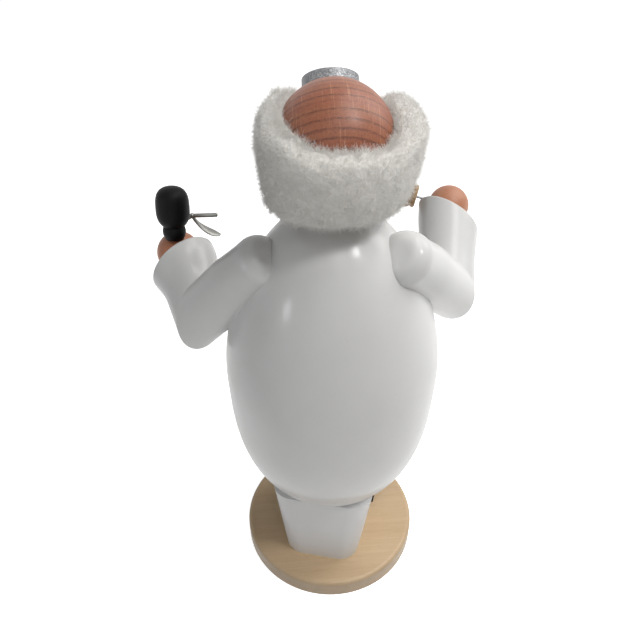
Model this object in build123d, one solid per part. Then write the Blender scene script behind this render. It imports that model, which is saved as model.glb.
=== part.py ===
from build123d import *
import math
import os

# German incense smoker: a turned wooden doctor in a white coat who stands on a
# round base. The hollow upper figure lifts off a turned spigot and turns on it.
# Millimetres. Origin at the centre of the base's underside, +Z up, face to -Y.

# Base, leg block and shoes
base_radius = 36.5
base_height = 8.0
base_edge_round = 1.8
stand_turn = -15.0
leg_height = 36.0
leg_foot_half_width = 15.5
leg_top_half_width = 20.0
leg_back = 24.0
leg_foot_front = 17.0
leg_top_front = 21.0
leg_corner_radius = 8.0
leg_groove_radius = 1.6
shoe_length = 24.0
shoe_half_width = 7.6
shoe_height = 9.0
shoe_heel_y = -7.5
shoe_spread = 11.2
shoe_splay = 5.0
shoe_round = 4.5
leg_dowel_radius = 3.0
leg_dowel_depth = 7.0
leg_dowel_spread = 7.0
leg_dowel_back = 12.0

# Spigot, dish and tack
spigot_radius = 17.5
spigot_height = 7.0
spigot_edge = 1.0
tenon_radius = 6.0
tenon_length = 8.0
dish_floor_radius = 10.5
dish_rim_radius = 13.0
dish_depth = 2.6
dish_sheet = 0.5
tack_radius = 0.6
tack_head_radius = 1.9
tack_head_height = 0.8
tack_depth = 6.0

# Coat, an egg of revolution with a straight bore
coat_radius = 38.3
coat_height = 116.5
coat_widest_rise = 58.2
coat_lower_share = 0.853
coat_upper_share = 0.965
lower_power = 3.14
upper_power = 1.54
coat_sections = 5
seat_round = 1.2
bore_roof = 18.5
bore_cone_height = 6.0
button_radius = 1.9
button_height = 1.1
button_peg_radius = 0.7
button_peg_length = 4.0
button_shares = (0.71, 0.55, 0.39, 0.23)

# Neck, head and what is fixed to it
neck_radius = 8.5
neck_tube_radius = 5.5
smoke_bore_radius = 3.5
neck_tube_below = 11.5
neck_tube_above = 10.5
head_radius = 17.45
head_rise = 22.0
mouth_radius = 3.2
mouth_drop = 6.5
nose_radius = 2.9
nose_drop = 0.9
nose_peg_radius = 1.2
nose_peg_length = 5.0
nose_stand_off = 1.1
mirror_radius = 8.65
mirror_thickness = 3.0
mirror_tilt = 50.0
mirror_forward = 15.9
mirror_rise = 9.5
mirror_dish_radius = 7.0
mirror_dish_depth = 0.7
mirror_eye_radius = 1.3
mirror_pin_radius = 1.0
mirror_pin_length = 8.0
mirror_pin_seat = 1.5

# Hair, a collar round the back and sides of the head
hair_reach = 25.0
hair_rise = 2.9
hair_height = 35.6
hair_root_radius = 9.5
hair_span = 262.0
hair_slope = 15.0
hair_back_share = 0.62
hair_round_share = 0.085
hair_swell_shares = ((0.78, 0.0), (0.93, 0.2), (1.0, 0.45), (0.98, 0.67), (0.86, 1.0))

# Arms: each is a turned rod sawn across at the elbow and glued as a mitre. The
# sleeve flares to a cuff that is cut aslant, with a ball-shaped hand in its end.
shoulder_radius = 9.2
arm_root_radius = 8.6
arm_root_slope = 0.2
sleeve_radius = 10.2
shoulder_taper = 16.0
arm_root_round = 6.0
arm_overrun = 30.0
flare_start = 9.0
cuff_round = 0.7
hand_radius = 8.0
hand_stand_off = 5.3
hand_peg_radius = 5.0
hand_peg_length = 7.0
arm_dowel_radius = 2.5
arm_dowel_root = 7.0
arm_dowel_reach = 9.0
arms = {
    "left": {"shoulder_out": 25.0, "shoulder_back": 4.0, "shoulder_height": 143.2,
             "root_length": 8.8,
             "upper_length": 36.1, "upper_azimuth": -29.8, "upper_rise": -48.2,
             "fore_length": 23.0, "fore_azimuth": -69.1, "fore_rise": 22.9,
             "cuff_radius": 12.8, "cuff_azimuth": -52.8, "cuff_rise": 17.5},
    "right": {"shoulder_out": -24.0, "shoulder_back": 7.0, "shoulder_height": 144.4,
              "root_length": 10.8,
              "upper_length": 42.9, "upper_azimuth": -130.6, "upper_rise": -41.5,
              "fore_length": 32.1, "fore_azimuth": -99.9, "fore_rise": 28.4,
              "cuff_radius": 11.7, "cuff_azimuth": -133.3, "cuff_rise": 26.6},
}

# Black bulb on the left hand, a turned and lacquered piece
bulb_radius = 6.0
bulb_length = 19.4
bulb_collar_shares = ((0.52, 0.0), (0.69, 0.13), (0.62, 0.25))
bulb_egg_shares = ((0.62, 0.25), (1.0, 0.62), (0.0, 1.0))
bulb_shoulder_slope = 0.9
bulb_out = 0.2
bulb_back = 2.4
bulb_up = 7.4
bulb_azimuth = 255.0
bulb_rise = 80.0
bulb_pin_radius = 1.0
bulb_pin_length = 7.0

# Forceps in the left hand: a shank that parts into a straight jaw and a spoon
fork_out = -5.7
fork_back = -6.9
fork_up = 11.5
knee_out = 0.0
knee_back = -5.4
knee_up = 8.9
forceps_wire_radius = 0.8
fork_knuckle_radius = 1.0
jaw_tip_round = 0.5
jaw_length = 9.6
jaw_azimuth = 176.0
jaw_rise = 2.0
spoon_length = 12.8
spoon_rise = -40.0
spoon_half_width = 2.3
spoon_half_depth = 0.65
spoon_bow = 1.6
spoon_shares = ((0.0, 0.45, 0.9), (0.35, 0.6, 1.0), (0.7, 1.0, 1.0), (1.0, 0.35, 0.5))

# Turned listening horn on a wire in the right hand
horn_reach = 14.9
horn_azimuth = -18.4
horn_rise = 10.1
horn_flange_radius = 4.6
horn_flange_height = 1.9
horn_flange_round = 0.9
horn_groove_radius = 4.1
horn_bulb_radius = 5.0
horn_waist_radius = 2.4
horn_lip_radius = 3.0
horn_length = 11.5
horn_height_shares = (0.15, 0.42, 0.86, 1.0)
horn_wire_radius = 0.5
wire_grip = 4.0

# Clearances
running_gap = 0.08
glue_gap = 0.05
cut_over = 2.0

leg_top = base_height + leg_height
coat_widest = leg_top + coat_widest_rise
coat_top = leg_top + coat_height
coat_lower_reach = (coat_widest - leg_top) / coat_lower_share
coat_upper_reach = (coat_top - coat_widest) / coat_upper_share
spigot_top = leg_top + spigot_height
bore_radius = spigot_radius + running_gap
bore_top = coat_top - bore_roof
head_centre = coat_top + head_rise
mouth_height = head_centre - mouth_drop
nose_height = head_centre - nose_drop
hair_bottom = coat_top + hair_rise


def coat_radius_at(height):
    """Outer radius of the coat at a height."""
    if height < coat_widest:
        share = (coat_widest - height) / coat_lower_reach
        power = lower_power
    else:
        share = (height - coat_widest) / coat_upper_reach
        power = upper_power
    return coat_radius * math.sqrt(max(0.0, 1.0 - share ** power))


def direction(azimuth, rise):
    """Unit vector from an angle about +Z and an angle above the level."""
    flat = math.cos(math.radians(rise))
    turn = math.radians(azimuth)
    return Vector(flat * math.cos(turn), flat * math.sin(turn), math.sin(math.radians(rise)))


def rod(start, way, radius, length):
    """Round rod from a point along a unit vector."""
    plane = Plane(origin=start, z_dir=way)
    return plane * Cylinder(radius, length, align=(Align.CENTER, Align.CENTER, Align.MIN))


def turned(edges, plane=Plane.XY):
    """Turn a closed outline, drawn as radius along X and height along Z, about Z."""
    return plane * revolve(make_face(edges), Axis.Z)


def outline(points):
    """Closed straight-sided outline in the XZ plane."""
    return Polyline(*[(x, 0, z) for x, z in points], close=True).edges()


def in_stand(shape):
    """Turn a piece of the stand to the angle at which it is glued on the base."""
    return Rot(0, 0, stand_turn) * shape


def make_base():
    disc = Cylinder(base_radius, base_height, align=(Align.CENTER, Align.CENTER, Align.MIN))
    disc = fillet(disc.edges().sort_by(Axis.Z)[-1], base_edge_round)
    return disc - make_leg_dowels(glue_gap)


def make_leg_dowels(gap=0.0):
    """Two dowels that hold the leg block on the base."""
    length = 2 * leg_dowel_depth + 2 * gap
    low = base_height - leg_dowel_depth - gap
    pins = []
    for side in (-1, 1):
        spot = Pos(side * leg_dowel_spread, leg_dowel_back, low)
        pins.append(spot * Cylinder(leg_dowel_radius + gap, length,
                                    align=(Align.CENTER, Align.CENTER, Align.MIN)))
    return in_stand(Compound(pins)) if gap == 0 else in_stand(pins[0] + pins[1])


def leg_section(half_width, front, height):
    """Rounded rectangle of the leg block, its flat back at +Y."""
    depth = leg_back + front
    middle = (leg_back - front) / 2
    return Pos(0, middle, height) * RectangleRounded(2 * half_width, depth, leg_corner_radius)


def make_trousers():
    foot = leg_section(leg_foot_half_width, leg_foot_front, base_height)
    top = leg_section(leg_top_half_width, leg_top_front, leg_top)
    block = loft([foot, top], ruled=True)
    notch_depth = leg_top_front + shoe_heel_y + cut_over
    block -= Pos(0, shoe_heel_y - notch_depth / 2, base_height + shoe_height / 2) * Box(
        2 * leg_top_half_width + cut_over, notch_depth, shoe_height)
    low = Vector(0, -leg_foot_front, base_height)
    high = Vector(0, -leg_top_front, leg_top)
    way = (high - low).normalized()
    block -= rod(low - way * cut_over, way, leg_groove_radius,
                 (high - low).length + 2 * cut_over)
    socket = Pos(0, 0, leg_top - tenon_length - glue_gap) * Cylinder(
        tenon_radius + glue_gap, tenon_length + cut_over,
        align=(Align.CENTER, Align.CENTER, Align.MIN))
    return in_stand(block - socket) - make_leg_dowels(glue_gap)


def make_shoe(side):
    """Half-round shoe whose heel is glued under the trouser hem."""
    toe_radius = shoe_half_width
    straight = shoe_length - toe_radius
    sole = Pos(0, -straight / 2, 0) * Rectangle(2 * shoe_half_width, straight)
    sole += Pos(0, -straight, 0) * Circle(toe_radius)
    shoe = extrude(sole, shoe_height)
    rim = shoe.edges().filter_by(GeomType.CIRCLE).sort_by(Axis.Z)[-1]
    shoe = fillet(rim, shoe_round)
    spot = Pos(side * shoe_spread, shoe_heel_y, base_height)
    shoe = spot * Rot(0, 0, side * shoe_splay) * shoe
    behind = Pos(0, shoe_heel_y + shoe_length / 2, base_height) * Box(
        2 * leg_top_half_width + cut_over, shoe_length, 2 * shoe_height + cut_over)
    return in_stand(shoe - behind)


def make_spigot():
    plug = Pos(0, 0, leg_top) * Cylinder(spigot_radius, spigot_height,
                                         align=(Align.CENTER, Align.CENTER, Align.MIN))
    plug = chamfer(plug.edges().sort_by(Axis.Z)[-1], spigot_edge)
    tenon = Pos(0, 0, leg_top - tenon_length) * Cylinder(
        tenon_radius, tenon_length + spigot_height / 2,
        align=(Align.CENTER, Align.CENTER, Align.MIN))
    pilot = Pos(0, 0, spigot_top - tack_depth) * Cylinder(
        tack_radius, tack_depth + cut_over, align=(Align.CENTER, Align.CENTER, Align.MIN))
    return plug + tenon - pilot


def make_dish():
    """Pressed tin dish that carries the incense cone and turns on its tack."""
    hole = tack_radius + running_gap
    rim = spigot_top + dish_depth
    points = [(hole, spigot_top), (dish_floor_radius, spigot_top),
              (dish_rim_radius, rim), (dish_rim_radius - dish_sheet, rim),
              (dish_floor_radius - dish_sheet, spigot_top + dish_sheet),
              (hole, spigot_top + dish_sheet)]
    return turned(outline(points))


def make_tack():
    under = spigot_top + dish_sheet + running_gap
    shank = Pos(0, 0, spigot_top - tack_depth) * Cylinder(
        tack_radius, under - spigot_top + tack_depth,
        align=(Align.CENTER, Align.CENTER, Align.MIN))
    head = Pos(0, 0, under) * Cylinder(tack_head_radius, tack_head_height,
                                       align=(Align.CENTER, Align.CENTER, Align.MIN))
    head = chamfer(head.edges().sort_by(Axis.Z)[-1], tack_head_height / 2)
    return shank + head


def coat_outside():
    """Egg-shaped turning, flat at its seat and at the neck."""
    shares = [i / coat_sections for i in range(coat_sections + 1)]
    lower = [leg_top + s * (coat_widest - leg_top) for s in shares]
    upper = [coat_widest + s * (coat_top - coat_widest) for s in shares[1:]]
    curve = Spline(*[(coat_radius_at(z), 0, z) for z in lower + upper])
    foot = Line((0, 0, leg_top), (coat_radius_at(leg_top), 0, leg_top))
    crown = Line((coat_radius_at(coat_top), 0, coat_top), (0, 0, coat_top))
    core = Line((0, 0, coat_top), (0, 0, leg_top))
    egg = turned([foot, curve, crown, core])
    return fillet(egg.edges().sort_by(Axis.Z)[0], seat_round)


def coat_bore():
    """Straight bore for the spigot and the smoke, coned up to the neck tube."""
    socket = neck_tube_radius + glue_gap
    points = [(0, leg_top - cut_over), (bore_radius, leg_top - cut_over),
              (bore_radius, bore_top), (socket, bore_top + bore_cone_height),
              (socket, coat_top + cut_over), (0, coat_top + cut_over)]
    return turned(outline(points))


def button_frames():
    """Centre and outward direction of each button down the coat's front."""
    frames = []
    for share in button_shares:
        height = leg_top + share * (coat_top - leg_top)
        step = button_radius
        rise = coat_radius_at(height + step) - coat_radius_at(height - step)
        way = Vector(0, -2 * step, -rise).normalized()
        frames.append((Vector(0, -coat_radius_at(height), height), way))
    return frames


def make_buttons():
    """Domed buttons with flat backs, each held on the coat by its own peg."""
    shoulder = (button_radius, 0, button_height / 2)
    cap = turned([Line((0, 0, 0), (button_radius, 0, 0)), Line((button_radius, 0, 0), shoulder),
                  TangentArc((0, 0, button_height), shoulder, tangent=(1, 0, 0)),
                  Line((0, 0, button_height), (0, 0, 0))])
    peg = Pos(0, 0, -button_peg_length) * Cylinder(
        button_peg_radius, button_peg_length + button_height / 2,
        align=(Align.CENTER, Align.CENTER, Align.MIN))
    button = cap + peg
    return Compound([Plane(origin=centre, z_dir=way) * button
                     for centre, way in button_frames()])


def make_neck_tube():
    low = coat_top - neck_tube_below
    length = neck_tube_below + neck_tube_above
    tube = Cylinder(neck_tube_radius, length, align=(Align.CENTER, Align.CENTER, Align.MIN))
    tube -= Cylinder(smoke_bore_radius, 2 * length + cut_over)
    return Pos(0, 0, low) * tube


def mirror_plane():
    """Back face of the mirror, its axis tilted up and forward."""
    tilt = math.radians(mirror_tilt)
    centre = Vector(0, -mirror_forward, head_centre + mirror_rise)
    return Plane(origin=centre, x_dir=(1, 0, 0),
                 z_dir=(0, -math.cos(tilt), math.sin(tilt)))


def make_mirror_pin(gap=0.0):
    plane = mirror_plane()
    start = plane.origin - plane.z_dir * mirror_pin_length
    return rod(start - plane.z_dir * gap, plane.z_dir, mirror_pin_radius + gap,
               mirror_pin_length + mirror_pin_seat + 2 * gap)


def make_mirror():
    disc = Cylinder(mirror_radius, mirror_thickness,
                    align=(Align.CENTER, Align.CENTER, Align.MIN))
    bowl = (mirror_dish_radius ** 2 + mirror_dish_depth ** 2) / (2 * mirror_dish_depth)
    disc -= Pos(0, 0, mirror_thickness - mirror_dish_depth + bowl) * Sphere(bowl)
    disc -= Pos(0, 0, mirror_thickness - mirror_dish_depth) * Cylinder(
        mirror_eye_radius, 2 * mirror_dish_depth)
    return mirror_plane() * disc - make_mirror_pin(glue_gap)


def nose_centre():
    surface = math.sqrt(head_radius ** 2 - nose_drop ** 2)
    return Vector(0, -surface - nose_stand_off, nose_height)


def make_nose(head):
    centre = nose_centre()
    ball = Pos(*centre) * Sphere(nose_radius)
    peg = rod(centre, Vector(0, 1, 0), nose_peg_radius, nose_peg_length)
    return ball - head + (peg - Pos(*centre) * Sphere(nose_radius / 2))


def make_head():
    ball = Pos(0, 0, head_centre) * Sphere(head_radius)
    neck_height = head_centre - head_radius / 2 - coat_top
    neck = Pos(0, 0, coat_top) * Cylinder(neck_radius, neck_height,
                                          align=(Align.CENTER, Align.CENTER, Align.MIN))
    head = ball + neck
    socket_height = neck_tube_above + glue_gap + cut_over
    head -= Pos(0, 0, coat_top - cut_over) * Cylinder(
        neck_tube_radius + glue_gap, socket_height,
        align=(Align.CENTER, Align.CENTER, Align.MIN))
    head -= Pos(0, 0, coat_top) * Cylinder(
        smoke_bore_radius, mouth_height + mouth_radius - coat_top,
        align=(Align.CENTER, Align.CENTER, Align.MIN))
    head -= rod(Vector(0, 0, mouth_height), Vector(0, -1, 0), mouth_radius,
                head_radius + cut_over)
    head -= rod(nose_centre(), Vector(0, 1, 0), nose_peg_radius + glue_gap,
                nose_peg_length + glue_gap)
    return head - make_mirror_pin(glue_gap)


def make_hair(head):
    """Fluffy hair as one plain collar, lower at the back than at the temples."""
    crown = hair_bottom + hair_height
    swell = [(r * hair_reach, 0, hair_bottom + z * hair_height) for r, z in hair_swell_shares]
    outside = Spline(*swell)
    edges = [Line((hair_root_radius, 0, hair_bottom), swell[0]), outside,
             Line(swell[-1], (hair_root_radius, 0, crown)),
             Line((hair_root_radius, 0, crown), (hair_root_radius, 0, hair_bottom))]
    collar = revolve(make_face(edges), Axis.Z, hair_span)
    collar = Rot(0, 0, 90 - hair_span / 2) * collar
    across = 2 * (hair_reach + cut_over)
    back = hair_bottom + hair_back_share * hair_height
    lid = Pos(0, hair_reach, back) * Rot(-hair_slope, 0, 0) * Pos(
        0, cut_over - across / 2, hair_height / 2) * Box(across, across, hair_height)
    collar = (collar - lid).solids().sort_by(SortBy.VOLUME)[-1]
    outer = [e for e in collar.edges() if e.center().cross(Vector(0, 0, 1)).length
             > hair_root_radius + glue_gap]
    return fillet(outer, hair_round_share * hair_height) - head


def arm_points(side):
    """Shoulder, elbow and cuff centres of one arm, with its two directions."""
    arm = arms[side]
    shoulder = Vector(arm["shoulder_out"], arm["shoulder_back"], arm["shoulder_height"])
    upper_way = direction(arm["upper_azimuth"], arm["upper_rise"])
    fore_way = direction(arm["fore_azimuth"], arm["fore_rise"])
    elbow = shoulder + upper_way * arm["upper_length"]
    cuff = elbow + fore_way * arm["fore_length"]
    return shoulder, elbow, cuff, upper_way, fore_way


def cuff_plane(side):
    """Plane of the cuff, square to the way in which the hand points."""
    _, _, cuff, _, _ = arm_points(side)
    arm = arms[side]
    return Plane(origin=cuff, z_dir=direction(arm["cuff_azimuth"], arm["cuff_rise"]))


def hand_centre(side):
    """Centre of the hand's ball, beyond the cuff along the sleeve."""
    _, _, cuff, _, fore_way = arm_points(side)
    return cuff + fore_way * hand_stand_off


def make_arm_dowel(side, gap=0.0):
    shoulder, _, _, way, _ = arm_points(side)
    start = shoulder - way * (arm_dowel_root + gap)
    return rod(start, way, arm_dowel_radius + gap, arm_dowel_root + arm_dowel_reach + 2 * gap)


def make_upper_arm(side, coat):
    """Tapered sleeve cut to the coat's curve above and mitred at the elbow."""
    shoulder, elbow, _, way, fore_way = arm_points(side)
    root = arms[side]["root_length"]
    end = (elbow - shoulder).length + arm_overrun
    swell = Spline((arm_root_radius, 0, -root), (shoulder_radius, 0, 0),
                   (sleeve_radius, 0, shoulder_taper),
                   tangents=((arm_root_slope, 0, 1), (0, 0, 1)))
    edges = [Line((0, 0, -root), (arm_root_radius, 0, -root)), swell,
             Line((sleeve_radius, 0, shoulder_taper), (sleeve_radius, 0, end)),
             Line((sleeve_radius, 0, end), (0, 0, end)),
             Line((0, 0, end), (0, 0, -root))]
    sleeve = turned(edges, Plane(origin=shoulder, z_dir=way))
    back = min(sleeve.faces(), key=lambda face: (face.center() - shoulder + way * root).length)
    sleeve = fillet(back.edges(), arm_root_round)
    mitre = Plane(origin=elbow, z_dir=(way + fore_way).normalized())
    sleeve = split(sleeve, bisect_by=mitre, keep=Keep.BOTTOM)
    sleeve = sleeve - coat - make_arm_dowel(side, glue_gap)
    return sleeve.solids().sort_by(SortBy.VOLUME)[-1]


def make_forearm(side):
    """Sleeve from the mitred elbow to a flared cuff with a rounded rim."""
    _, elbow, cuff, way, fore_way = arm_points(side)
    cuff_radius = arms[side]["cuff_radius"]
    length = (cuff - elbow).length
    end = length + arm_overrun
    edges = [Line((0, 0, -arm_overrun), (sleeve_radius, 0, -arm_overrun)),
             Line((sleeve_radius, 0, -arm_overrun), (sleeve_radius, 0, flare_start)),
             Spline((sleeve_radius, 0, flare_start), (cuff_radius, 0, length),
                    tangents=((0, 0, 1), (0, 0, 1))),
             Line((cuff_radius, 0, length), (cuff_radius, 0, end)),
             Line((cuff_radius, 0, end), (0, 0, end)),
             Line((0, 0, end), (0, 0, -arm_overrun))]
    sleeve = turned(edges, Plane(origin=elbow, z_dir=fore_way))
    mitre = Plane(origin=elbow, z_dir=(way + fore_way).normalized())
    plane = cuff_plane(side)
    sleeve = split(sleeve, bisect_by=mitre, keep=Keep.TOP)
    sleeve = split(sleeve, bisect_by=plane, keep=Keep.BOTTOM)
    mouth = min(sleeve.faces(), key=lambda face: (face.center() - cuff).length)
    sleeve = fillet(mouth.edges(), cuff_round)
    return sleeve - rod(cuff - plane.z_dir * (hand_peg_length + glue_gap), plane.z_dir,
                        hand_peg_radius + glue_gap, hand_peg_length + cut_over)


def make_hand_blank(side):
    """Ball-shaped hand with a peg that is glued into the cuff."""
    plane = cuff_plane(side)
    wide = 2 * (hand_radius + hand_stand_off)
    ball = Pos(*plane.to_local_coords(hand_centre(side))) * Sphere(hand_radius)
    ball -= Pos(0, 0, -hand_radius) * Box(wide, wide, 2 * hand_radius)
    peg = Pos(0, 0, -hand_peg_length) * Cylinder(
        hand_peg_radius, hand_peg_length + hand_stand_off,
        align=(Align.CENTER, Align.CENTER, Align.MIN))
    return plane * (ball + peg)


def bulb_frame():
    """Foot and axis of the bulb, on top of the left hand."""
    foot = hand_centre("left") + Vector(bulb_out, bulb_back, bulb_up)
    return foot, direction(bulb_azimuth, bulb_rise)


def make_bulb_pin(gap=0.0):
    foot, way = bulb_frame()
    start = foot - way * (bulb_pin_length / 2 + gap)
    return rod(start, way, bulb_pin_radius + gap, bulb_pin_length + 2 * gap)


def make_bulb(hand):
    """Egg-shaped bulb over a narrower collar that sits on the hand."""
    foot, way = bulb_frame()
    collar, egg = [[(r * bulb_radius, 0, z * bulb_length) for r, z in shares]
                   for shares in (bulb_collar_shares, bulb_egg_shares)]
    edges = [Line((0, 0, 0), collar[0]), Spline(*collar),
             Spline(*egg, tangents=((1, 0, bulb_shoulder_slope), (-1, 0, 0))),
             Line((0, 0, bulb_length), (0, 0, 0))]
    bulb = turned(edges, Plane(origin=foot, z_dir=way))
    bulb = bulb - hand - make_bulb_pin(glue_gap)
    return bulb.solids().sort_by(SortBy.VOLUME)[-1]


def forceps_points():
    """Root in the hand, knee behind the bulb, and the fork of the two jaws."""
    centre = hand_centre("left")
    knee = centre + Vector(knee_out, knee_back, knee_up)
    fork = centre + Vector(fork_out, fork_back, fork_up)
    root = centre + (knee - centre).normalized() * (hand_radius - wire_grip)
    return root, knee, fork


def make_forceps_shank(gap=0.0):
    root, knee, fork = forceps_points()
    stem = rod(root, (knee - root).normalized(), forceps_wire_radius + gap,
               (knee - root).length)
    if gap:
        return stem
    stem += Pos(*knee) * Sphere(forceps_wire_radius)
    stem += rod(knee, (fork - knee).normalized(), forceps_wire_radius, (fork - knee).length)
    jaw_way = direction(jaw_azimuth, jaw_rise)
    jaw = rod(fork, jaw_way, forceps_wire_radius, jaw_length)
    tip = jaw.edges().filter_by(GeomType.CIRCLE).sort_by_distance(fork)[-1]
    return stem + Pos(*fork) * Sphere(fork_knuckle_radius) + fillet(tip, jaw_tip_round)


def make_forceps_spoon(shank):
    """Second jaw, bowed and widened to a small spoon."""
    _, _, fork = forceps_points()
    way = direction(jaw_azimuth, spoon_rise)
    side = way.cross(direction(jaw_azimuth, jaw_rise)).normalized()
    lift = way.cross(side).normalized()
    sections = []
    for along, wide, deep in spoon_shares:
        bow = spoon_bow * math.sin(math.pi * along)
        spot = fork + way * (along * spoon_length) + lift * bow
        plane = Plane(origin=spot, x_dir=side, z_dir=way)
        sections.append(plane * Ellipse(wide * spoon_half_width, deep * spoon_half_depth))
    return loft(sections) - shank


def horn_frame():
    """Foot of the horn on its wire, with the wire's direction from the hand."""
    centre = hand_centre("right")
    way = direction(horn_azimuth, horn_rise)
    return centre + way * (horn_reach - horn_flange_height), way, centre


def make_horn_wire(gap=0.0):
    foot, way, centre = horn_frame()
    start = centre + way * (hand_radius - wire_grip)
    end = foot + way * wire_grip
    return rod(start - way * gap, way, horn_wire_radius + gap, (end - start).length + 2 * gap)


def make_horn():
    """Turned horn: a flange, a groove, a bulb, a waist and a small flared lip."""
    foot, way, _ = horn_frame()
    flange = Cylinder(horn_flange_radius, horn_flange_height,
                      align=(Align.CENTER, Align.CENTER, Align.MIN))
    flange = fillet(flange.edges().filter_by(GeomType.CIRCLE), horn_flange_round)
    radii = (horn_groove_radius, horn_bulb_radius, horn_waist_radius, horn_lip_radius)
    body = [(radius, 0, share * horn_length) for radius, share in zip(radii, horn_height_shares)]
    core = (0, 0, body[0][2])
    edges = [Line(core, body[0]), Spline(*body), Line(body[-1], (0, 0, horn_length)),
             Line((0, 0, horn_length), core)]
    horn = Plane(origin=foot, z_dir=way) * (flange + turned(edges))
    return horn - make_horn_wire(glue_gap)


def main():
    os.makedirs("parts", exist_ok=True)
    parts = {}
    parts["base_disc"] = make_base()
    parts["leg_dowels"] = make_leg_dowels()
    parts["trousers"] = make_trousers()
    parts["left_shoe"] = make_shoe(1)
    parts["right_shoe"] = make_shoe(-1)
    parts["spigot"] = make_spigot()
    parts["cone_dish"] = make_dish()
    parts["dish_tack"] = make_tack()

    outside = coat_outside()
    coat = outside - coat_bore()
    for side in arms:
        coat -= make_arm_dowel(side, glue_gap)
    parts["coat_buttons"] = make_buttons()
    coat -= [rod(c - w * (button_peg_length + glue_gap), w, button_peg_radius + glue_gap,
                 button_peg_length + cut_over) for c, w in button_frames()]
    parts["coat_body"] = coat
    parts["neck_tube"] = make_neck_tube()
    head = make_head()
    parts["head"] = head
    parts["nose"] = make_nose(head)
    parts["head_mirror"] = make_mirror()
    parts["mirror_pin"] = make_mirror_pin()
    parts["hair"] = make_hair(head)

    hands = {}
    for side in arms:
        parts[f"{side}_arm_dowel"] = make_arm_dowel(side)
        parts[f"{side}_upper_arm"] = make_upper_arm(side, outside)
        parts[f"{side}_forearm"] = make_forearm(side)
        hands[side] = make_hand_blank(side)
    parts["bulb_pin"] = make_bulb_pin()
    parts["black_bulb"] = make_bulb(hands["left"])
    shank = make_forceps_shank()
    parts["forceps_shank"] = shank
    parts["forceps_spoon"] = make_forceps_spoon(shank)
    parts["left_hand"] = hands["left"] - make_bulb_pin(glue_gap) - make_forceps_shank(glue_gap)
    parts["horn_wire"] = make_horn_wire()
    parts["listening_horn"] = make_horn()
    parts["right_hand"] = hands["right"] - make_horn_wire(glue_gap)

    for node, shape in parts.items():
        export_step(shape, f"parts/{node}.step")


main()
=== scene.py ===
import math

import bmesh
import bpy
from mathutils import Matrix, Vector, noise as fieldNoise


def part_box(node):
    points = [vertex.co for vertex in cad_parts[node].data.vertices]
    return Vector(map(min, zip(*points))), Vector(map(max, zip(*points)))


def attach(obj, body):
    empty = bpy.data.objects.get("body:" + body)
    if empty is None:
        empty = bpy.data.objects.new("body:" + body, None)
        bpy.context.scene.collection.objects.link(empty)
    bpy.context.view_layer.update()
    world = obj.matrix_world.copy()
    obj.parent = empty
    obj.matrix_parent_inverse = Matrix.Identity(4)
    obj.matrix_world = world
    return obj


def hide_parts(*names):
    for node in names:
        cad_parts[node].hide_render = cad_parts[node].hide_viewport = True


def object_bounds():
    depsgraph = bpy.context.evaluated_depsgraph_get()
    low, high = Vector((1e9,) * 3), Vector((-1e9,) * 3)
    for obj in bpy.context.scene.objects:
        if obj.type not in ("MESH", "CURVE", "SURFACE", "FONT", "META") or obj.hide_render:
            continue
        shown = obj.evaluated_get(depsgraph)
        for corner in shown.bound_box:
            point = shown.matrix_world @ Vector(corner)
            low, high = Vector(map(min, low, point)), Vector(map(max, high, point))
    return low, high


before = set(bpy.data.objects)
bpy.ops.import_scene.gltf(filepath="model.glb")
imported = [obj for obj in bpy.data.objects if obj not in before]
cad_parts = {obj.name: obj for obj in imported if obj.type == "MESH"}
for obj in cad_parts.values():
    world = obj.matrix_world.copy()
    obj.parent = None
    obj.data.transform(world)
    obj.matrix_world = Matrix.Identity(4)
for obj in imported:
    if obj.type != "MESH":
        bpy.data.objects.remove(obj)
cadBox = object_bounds()
scene = bpy.context.scene
mm = 0.001
print("frame loaded,", len(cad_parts), "CAD nodes")


# Nodes: small helpers that every finish and the fur share
def tone(red, green, blue):
    # Screen colour 0 to 255 as a linear colour
    steps = []
    for part in (red, green, blue):
        share = part / 255
        steps.append(share / 12.92 if share <= 0.04045 else ((share + 0.055) / 1.055) ** 2.4)
    return (*steps, 1.0)


def feed(tree, socket, value):
    # A socket takes a fixed value or another node's output
    if isinstance(value, bpy.types.NodeSocket):
        tree.links.new(value, socket)
    elif value is not None:
        socket.default_value = value


def put(tree, kind, settings=None, **links):
    # A node with its values set and its inputs joined; at0 is its first input
    node = tree.nodes.new(kind)
    for name, value in (settings or {}).items():
        if name in node.inputs:
            node.inputs[name].default_value = value
        else:
            setattr(node, name, value)
    for name, source in links.items():
        key = int(name[2:]) if name.startswith("at") else name.replace("_", " ")
        tree.links.new(source, node.inputs[key])
    return node


def mathStep(tree, operation, first, second=None):
    node = put(tree, "ShaderNodeMath", {"operation": operation})
    feed(tree, node.inputs[0], first)
    feed(tree, node.inputs[1], second)
    return node.outputs[0]


def vectorStep(tree, operation, first, second):
    node = put(tree, "ShaderNodeVectorMath", {"operation": operation}, at0=first)
    feed(tree, node.inputs["Scale" if operation == "SCALE" else 1], second)
    return node.outputs["Value" if operation == "DOT_PRODUCT" else "Vector"]


def spread(tree, value, low, high):
    # Value 0 to 1 spread between low and high
    return put(tree, "ShaderNodeMapRange", {"To Min": low, "To Max": high}, Value=value).outputs[0]


def stretched(tree, point, scale, turn=(0.0, 0.0, 0.0)):
    node = put(tree, "ShaderNodeMapping", {"Rotation": turn, "Scale": scale}, Vector=point)
    return node.outputs["Vector"]


def speckle(tree, point, scale, detail=2.0, rough=0.5):
    node = put(tree, "ShaderNodeTexNoise", {"Scale": scale, "Detail": detail, "Roughness": rough},
               Vector=point)
    return node.outputs["Fac"]


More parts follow.
